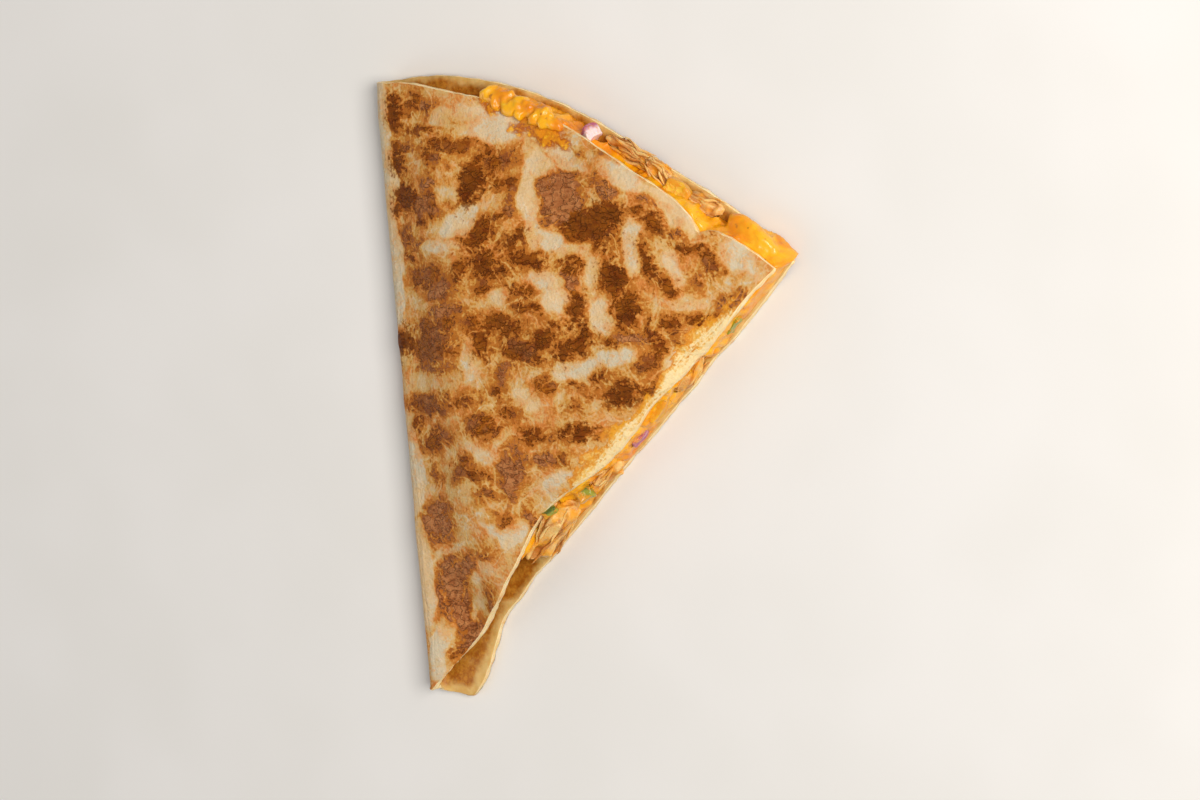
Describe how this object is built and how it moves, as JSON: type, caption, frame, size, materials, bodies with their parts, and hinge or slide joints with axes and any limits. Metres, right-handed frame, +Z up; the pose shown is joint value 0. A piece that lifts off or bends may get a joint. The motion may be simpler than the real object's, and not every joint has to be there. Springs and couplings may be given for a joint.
{
  "type": "quesadilla wedge",
  "caption": "End wedge of a griddled quesadilla: a flour tortilla folded over melted cheese, chicken, red onion and peppers, open at its round edge and at the knife cut.",
  "frame": {"origin": "middle of the wedge's footprint box, on the surface that it lies on", "axes": "+Y along the fold, from the tip to the round edge; +X from the fold towards the cut; +Z up"},
  "size_m": [0.1116, 0.1544, 0.0175],
  "materials": {
    "tortilla": "matt cream dough with browned griddle patches",
    "cheese": "melted cheese, satin",
    "chicken": "seasoned cooked meat, moist",
    "red_onion": "moist, slightly clear",
    "green_pepper": "moist and glossy",
    "yellow_pepper": "moist and glossy"
  },
  "bodies": {
    "root": {"tortilla": "tortilla", "cheese_filling": "cheese", "chicken_1": "chicken", "chicken_2": "chicken", "chicken_3": "chicken", "chicken_4": "chicken", "chicken_5": "chicken", "chicken_6": "chicken", "red_onion_1": "red_onion", "red_onion_2": "red_onion", "green_pepper_1": "green_pepper", "green_pepper_2": "green_pepper", "green_pepper_3": "green_pepper", "yellow_pepper_1": "yellow_pepper", "yellow_pepper_2": "yellow_pepper"}
  },
  "joints": []
}
